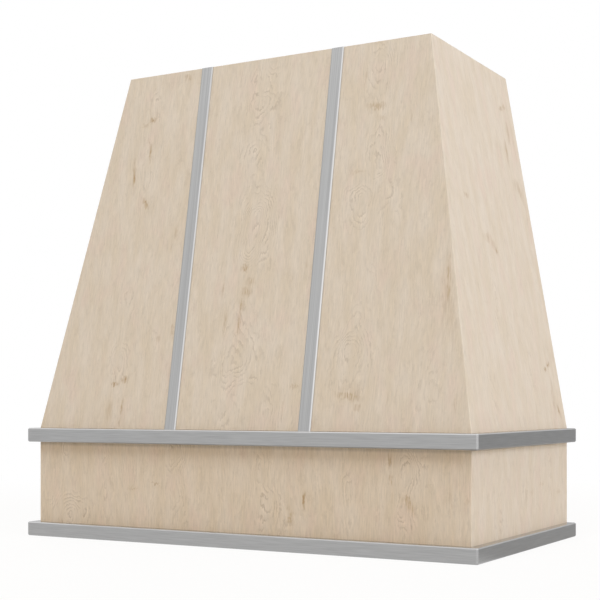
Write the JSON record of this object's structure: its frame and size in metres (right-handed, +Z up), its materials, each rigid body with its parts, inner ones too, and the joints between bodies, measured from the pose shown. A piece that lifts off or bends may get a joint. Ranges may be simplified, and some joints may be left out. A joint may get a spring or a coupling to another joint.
{
  "type": "range hood cover",
  "caption": "Wall-hung wooden hood cover: a tapered casing on a straight skirt, with metal bands round the skirt, flat metal straps up the front and a shelf for a hood insert.",
  "frame": {"origin": "on the plane of the lower rim, under the middle of the cover's bounding box", "axes": "+X to the right as seen from the front, +Y towards the wall, +Z up"},
  "size_m": [0.9504, 0.5134, 0.9144],
  "materials": {
    "veneered_ply": "pale unstained veneer, matt",
    "frame_wood": "planed softwood, bare",
    "shelf_ply": "sanded birch plywood, bare",
    "brushed_metal": "brushed lengthwise",
    "screw_steel": "zinc-plated"
  },
  "bodies": {
    "root": {"foot_rail_front": "frame_wood", "foot_rail_screws": "screw_steel", "front_panel": "veneered_ply", "insert_shelf": "shelf_ply", "ledger_back": "frame_wood", "ledger_front": "frame_wood", "ledger_screws": "screw_steel", "left_foot_rail": "frame_wood", "left_ledger": "frame_wood", "left_lower_band": "brushed_metal", "left_lower_band_core": "frame_wood", "left_side_panel": "veneered_ply", "left_skirt_corner_block": "frame_wood", "left_skirt_rail": "frame_wood", "left_skirt_side": "veneered_ply", "left_slope_corner_block": "frame_wood", "left_strap": "brushed_metal", "left_top_rail": "frame_wood", "left_upper_band": "brushed_metal", "left_upper_band_core": "frame_wood", "lower_band_core_front": "frame_wood", "lower_band_front": "brushed_metal", "lower_band_screws": "screw_steel", "lower_wall_rail": "frame_wood", "right_foot_rail": "frame_wood", "right_ledger": "frame_wood", "right_lower_band": "brushed_metal", "right_lower_band_core": "frame_wood", "right_side_panel": "veneered_ply", "right_skirt_corner_block": "frame_wood", "right_skirt_rail": "frame_wood", "right_skirt_side": "veneered_ply", "right_slope_corner_block": "frame_wood", "right_strap": "brushed_metal", "right_top_rail": "frame_wood", "right_upper_band": "brushed_metal", "right_upper_band_core": "frame_wood", "shelf_screws": "screw_steel", "skirt_front": "veneered_ply", "skirt_rail_front": "frame_wood", "standing_screws": "screw_steel", "top_rail_front": "frame_wood", "top_rail_screws": "screw_steel", "upper_band_core_front": "frame_wood", "upper_band_front": "brushed_metal", "upper_band_screws": "screw_steel", "upper_wall_rail": "frame_wood", "wall_rail_screws": "screw_steel"}
  },
  "joints": []
}
